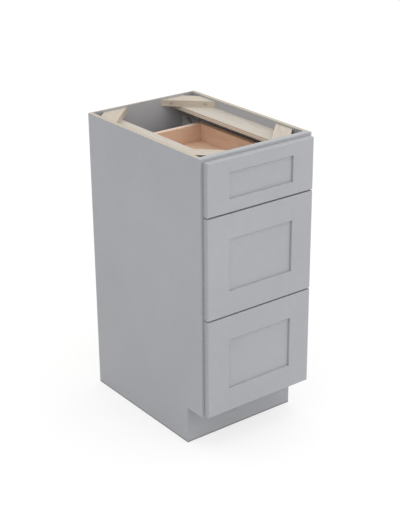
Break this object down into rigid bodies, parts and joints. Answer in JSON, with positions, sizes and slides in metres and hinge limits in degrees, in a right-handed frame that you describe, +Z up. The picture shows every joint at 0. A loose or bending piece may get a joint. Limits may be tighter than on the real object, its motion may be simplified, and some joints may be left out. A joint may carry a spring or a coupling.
{
  "type": "vanity drawer base cabinet",
  "caption": "Face-frame vanity base cabinet with stacked shaker drawers on full-extension undermount runners, open top with corner braces, recessed toe kick.",
  "frame": {"origin": "bottom centre of the whole cabinet, drawer fronts included, on the floor", "axes": "+Z up, +Y to the wall behind, +X to the right seen from the front"},
  "size_m": [0.381, 0.5534, 0.8763],
  "materials": {
    "grey_paint": "satin grey paint",
    "bare_wood": "bare pale hardwood and plywood",
    "drawer_wood": "clear lacquered wood",
    "zinc_steel": "zinc plated",
    "clip_plastic": "moulded",
    "bumper_rubber": "clear silicone"
  },
  "bodies": {
    "cabinet": {"left_side_panel": "grey_paint", "right_side_panel": "grey_paint", "back_panel": "grey_paint", "bottom_panel": "grey_paint", "toe_kick_board": "grey_paint", "left_frame_stile": "grey_paint", "right_frame_stile": "grey_paint", "top_frame_rail": "grey_paint", "upper_frame_rail": "grey_paint", "lower_frame_rail": "grey_paint", "bottom_frame_rail": "grey_paint", "front_left_brace": "bare_wood", "front_right_brace": "bare_wood", "back_left_brace": "bare_wood", "back_right_brace": "bare_wood", "left_top_stretcher": "bare_wood", "right_top_stretcher": "bare_wood", "brace_screws": "zinc_steel", "runner_screws": "zinc_steel", "runner_rear_brackets": "zinc_steel", "bumper_pads": "bumper_rubber", "top_runner_cabinet_members": "zinc_steel", "middle_runner_cabinet_members": "zinc_steel", "bottom_runner_cabinet_members": "zinc_steel"},
    "top_drawer": {"top_front_stiles": "grey_paint", "top_front_rails": "grey_paint", "top_front_panel": "grey_paint", "top_box_front": "drawer_wood", "top_box_back": "drawer_wood", "top_box_left_side": "drawer_wood", "top_box_right_side": "drawer_wood", "top_box_bottom": "drawer_wood", "top_front_screws": "zinc_steel", "top_runner_drawer_members": "zinc_steel", "top_locking_clips": "clip_plastic"},
    "top_runner": {"top_runner_middle_members": "zinc_steel"},
    "middle_drawer": {"middle_front_stiles": "grey_paint", "middle_front_rails": "grey_paint", "middle_front_panel": "grey_paint", "middle_box_front": "drawer_wood", "middle_box_back": "drawer_wood", "middle_box_left_side": "drawer_wood", "middle_box_right_side": "drawer_wood", "middle_box_bottom": "drawer_wood", "middle_front_screws": "zinc_steel", "middle_runner_drawer_members": "zinc_steel", "middle_locking_clips": "clip_plastic"},
    "middle_runner": {"middle_runner_middle_members": "zinc_steel"},
    "bottom_drawer": {"bottom_front_stiles": "grey_paint", "bottom_front_rails": "grey_paint", "bottom_front_panel": "grey_paint", "bottom_box_front": "drawer_wood", "bottom_box_back": "drawer_wood", "bottom_box_left_side": "drawer_wood", "bottom_box_right_side": "drawer_wood", "bottom_box_bottom": "drawer_wood", "bottom_front_screws": "zinc_steel", "bottom_runner_drawer_members": "zinc_steel", "bottom_locking_clips": "clip_plastic"},
    "bottom_runner": {"bottom_runner_middle_members": "zinc_steel"}
  },
  "joints": [
    {"name": "top_drawer_slide", "type": "slide", "parent": "cabinet", "child": "top_drawer", "axis": [0, -1, 0], "range_m": [0, 0.432]},
    {"name": "top_runner_slide", "type": "slide", "parent": "cabinet", "child": "top_runner", "axis": [0, -1, 0], "range_m": [0, 0.216]},
    {"name": "middle_drawer_slide", "type": "slide", "parent": "cabinet", "child": "middle_drawer", "axis": [0, -1, 0], "range_m": [0, 0.432]},
    {"name": "middle_runner_slide", "type": "slide", "parent": "cabinet", "child": "middle_runner", "axis": [0, -1, 0], "range_m": [0, 0.216]},
    {"name": "bottom_drawer_slide", "type": "slide", "parent": "cabinet", "child": "bottom_drawer", "axis": [0, -1, 0], "range_m": [0, 0.432]},
    {"name": "bottom_runner_slide", "type": "slide", "parent": "cabinet", "child": "bottom_runner", "axis": [0, -1, 0], "range_m": [0, 0.216]}
  ],
  "couplings": [
    {"joint": "top_runner_slide", "follows": "top_drawer_slide", "ratio": 0.5},
    {"joint": "middle_runner_slide", "follows": "middle_drawer_slide", "ratio": 0.5},
    {"joint": "bottom_runner_slide", "follows": "bottom_drawer_slide", "ratio": 0.5}
  ]
}
